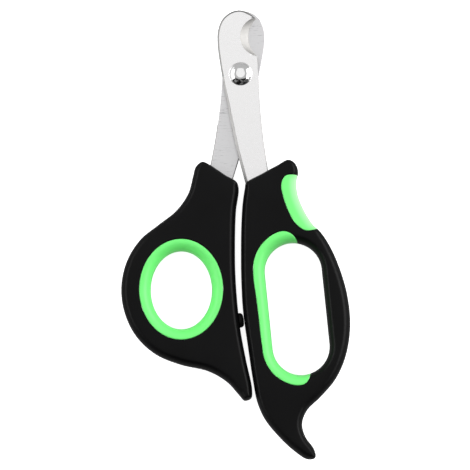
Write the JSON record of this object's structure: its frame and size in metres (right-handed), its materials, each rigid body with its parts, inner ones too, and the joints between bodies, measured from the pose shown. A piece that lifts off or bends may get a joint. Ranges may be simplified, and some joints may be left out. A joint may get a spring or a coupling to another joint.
{
  "type": "scissor nail clipper",
  "caption": "Scissor-type pet nail clipper with notched steel blades on a rivet, black handles with a thumb ring and a finger loop, and soft green grips.",
  "frame": {"origin": "middle of the closed clipper's box, on the face that it lies on", "axes": "+Y from the handles to the blade tips, +Z out of the front face, +X towards the finger loop"},
  "size_m": [0.0684, 0.1348, 0.0096],
  "materials": {
    "blade_steel": "satin ground face with a fine grain",
    "rear_blade_steel": "ground face with visible fine scratches",
    "rivet_steel": "polished dome",
    "washer_steel": "plain",
    "handle_plastic": "fine matt moulded black",
    "soft_grip": "soft matt light green",
    "stop_rubber": "matt black rubber"
  },
  "bodies": {
    "right_half": {"front_blade": "blade_steel", "pivot_rivet": "rivet_steel", "rivet_washer": "washer_steel", "right_handle": "handle_plastic", "finger_loop_grip": "soft_grip", "finger_rest_grip": "soft_grip"},
    "left_half": {"rear_blade": "rear_blade_steel", "left_handle": "handle_plastic", "thumb_ring_grip": "soft_grip", "handle_stop": "stop_rubber"}
  },
  "joints": [
    {"name": "blade_pivot", "type": "hinge", "parent": "right_half", "child": "left_half", "pos_m": [0.00145, 0.0481, 0.0048], "axis": [0, 0, -1], "range_deg": [0, 60]}
  ]
}
